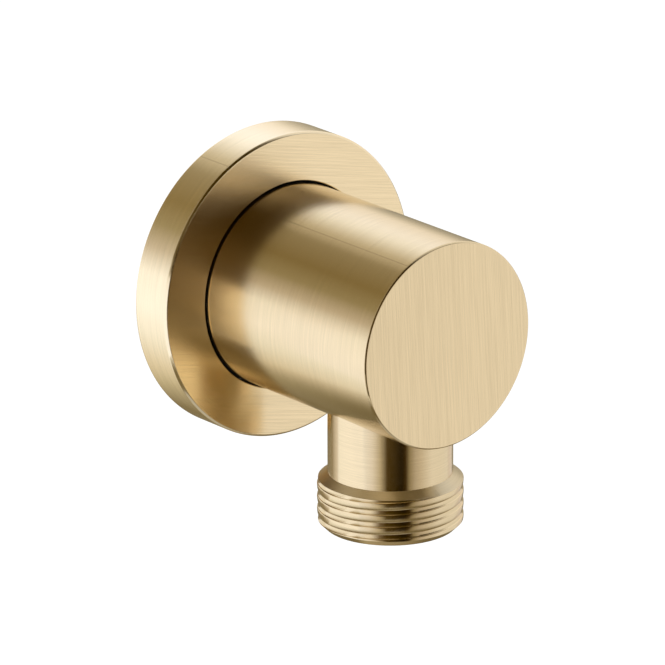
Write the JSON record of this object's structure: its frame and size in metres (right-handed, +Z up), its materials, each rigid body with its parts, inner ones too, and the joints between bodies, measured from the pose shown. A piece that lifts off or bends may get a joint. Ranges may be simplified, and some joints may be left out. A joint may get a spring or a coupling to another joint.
{
  "type": "wall outlet elbow",
  "caption": "Round brushed brass wall outlet elbow for a shower hose: a horizontal barrel through a slip-on wall flange, with a threaded outlet pointing down.",
  "frame": {"origin": "on the wall, on the axis of the inlet", "axes": "+Z up, +Y into the wall along the inlet, -Y out of the wall, -Z along the outlet"},
  "size_m": [0.045, 0.055, 0.0523],
  "materials": {
    "brushed_brass": "brushed, satin",
    "o_ring_rubber": "matt"
  },
  "bodies": {
    "elbow": {"elbow_body": "brushed_brass"},
    "flange": {"wall_flange": "brushed_brass", "flange_o_ring": "o_ring_rubber"}
  },
  "joints": [
    {"name": "flange_slide", "type": "slide", "parent": "elbow", "child": "flange", "axis": [0, -1, 0], "range_m": [0, 0.013]}
  ]
}
